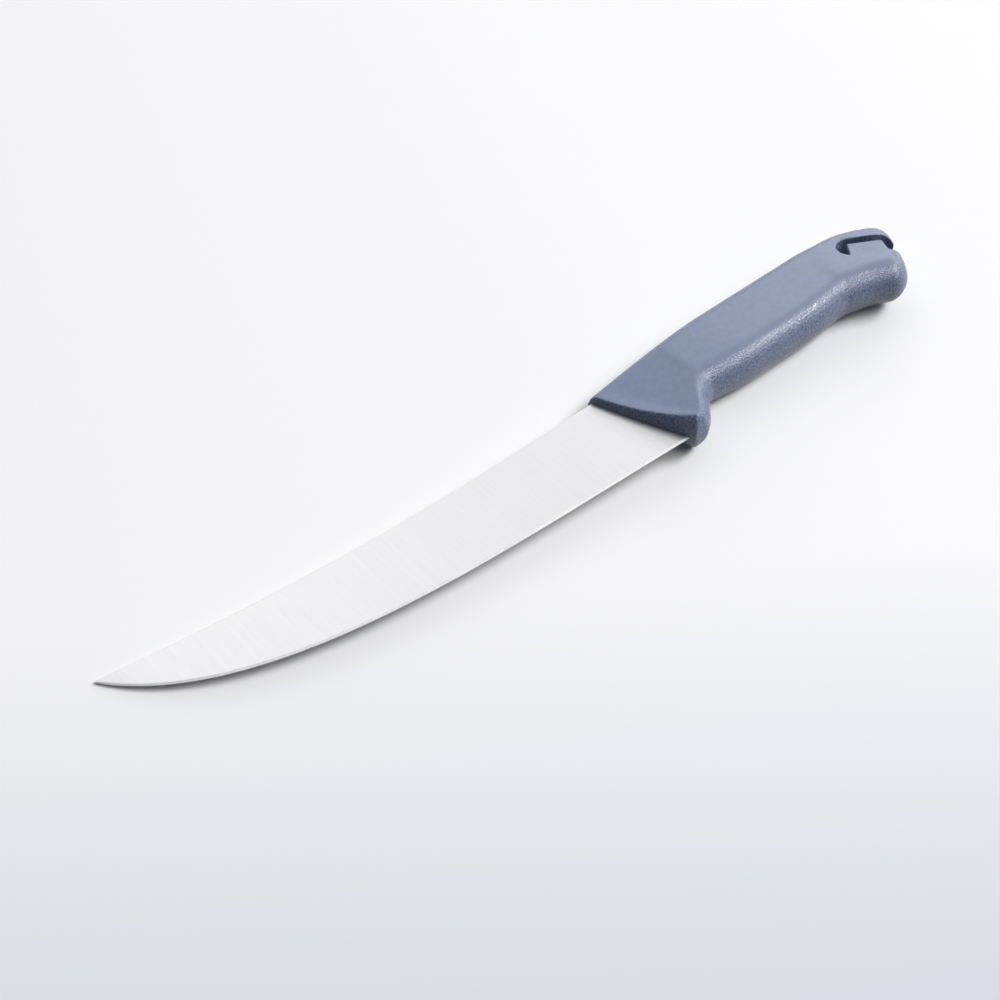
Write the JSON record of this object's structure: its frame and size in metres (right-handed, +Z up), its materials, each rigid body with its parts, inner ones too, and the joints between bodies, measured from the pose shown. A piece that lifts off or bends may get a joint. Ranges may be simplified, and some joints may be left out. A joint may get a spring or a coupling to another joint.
{
  "type": "butcher knife",
  "caption": "Butcher knife with a broad upswept satin blade, hidden tang and a moulded slate-blue handle with a guard and a hanging slot.",
  "frame": {"origin": "on the table the knife lies on, below the middle of its bounding box", "axes": "+X from the blade's tip to the butt, the longest extent; +Y from the cutting edge to the spine; +Z up from the table, the shortest extent. The knife lies on its side in balance, on the tip and the handle's lower panel, so the blade's flat leans about 6 degrees with the spine side lower, and falls about 1 degree towards the tip."},
  "size_m": [0.355, 0.0516, 0.0205],
  "materials": {
    "satin_steel": "satin, ground crosswise",
    "slate_plastic": "slate blue, fine eroded grain"
  },
  "bodies": {
    "root": {"blade": "satin_steel", "handle": "slate_plastic"}
  },
  "joints": []
}
